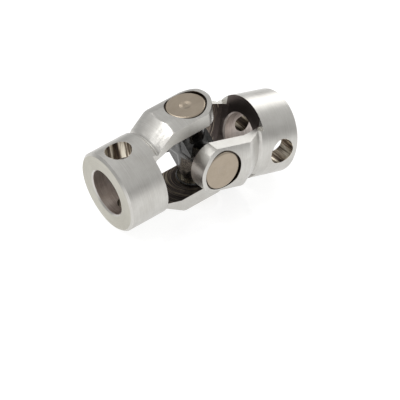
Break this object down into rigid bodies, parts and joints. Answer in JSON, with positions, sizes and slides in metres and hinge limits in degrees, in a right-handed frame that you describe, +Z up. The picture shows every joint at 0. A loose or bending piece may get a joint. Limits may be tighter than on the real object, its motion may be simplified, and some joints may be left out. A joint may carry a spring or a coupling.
{
  "type": "universal joint",
  "caption": "Needle-bearing universal joint: forked yokes on a cross, with round hubs bored for shafts and cross-drilled for bolts.",
  "frame": {"origin": "on the surface it lies on, straight below the centre of the cross", "axes": "+X along the bent joint from the input hub to the output hub, +Y along the output yoke's pin axis, +Z up"},
  "size_m": [0.0814, 0.0404, 0.0435],
  "materials": {
    "yoke_steel": "satin, turned and milled",
    "cup_steel": "satin, drawn and hardened, straw tint",
    "cross_steel": "forged, satin, with a film of grease",
    "needle_steel": "ground and polished",
    "washer_plastic": "moulded nylon",
    "seal_rubber": "moulded nitrile rubber",
    "retainer_steel": "pressed sheet steel"
  },
  "bodies": {
    "input_yoke": {"input_yoke": "yoke_steel", "input_cup_upper": "cup_steel", "input_needles_upper": "needle_steel", "input_thrust_washer_upper": "washer_plastic", "input_cup_lower": "cup_steel", "input_needles_lower": "needle_steel", "input_thrust_washer_lower": "washer_plastic"},
    "cross": {"cross": "cross_steel", "input_seal_upper": "seal_rubber", "input_seal_retainer_upper": "retainer_steel", "input_seal_lower": "seal_rubber", "input_seal_retainer_lower": "retainer_steel", "output_seal_front": "seal_rubber", "output_seal_retainer_front": "retainer_steel", "output_seal_back": "seal_rubber", "output_seal_retainer_back": "retainer_steel"},
    "output_yoke": {"output_yoke": "yoke_steel", "output_cup_front": "cup_steel", "output_needles_front": "needle_steel", "output_thrust_washer_front": "washer_plastic", "output_cup_back": "cup_steel", "output_needles_back": "needle_steel", "output_thrust_washer_back": "washer_plastic"}
  },
  "joints": [
    {"name": "input_pin_swing", "type": "hinge", "parent": "input_yoke", "child": "cross", "pos_m": [0, 0, 0.02186], "axis": [-0.1601, 0, 0.9871], "range_deg": [-35, 35]},
    {"name": "output_pin_swing", "type": "hinge", "parent": "cross", "child": "output_yoke", "pos_m": [0, 0, 0.02186], "axis": [0, 1, 0], "range_deg": [-53.42, 16.58]}
  ]
}
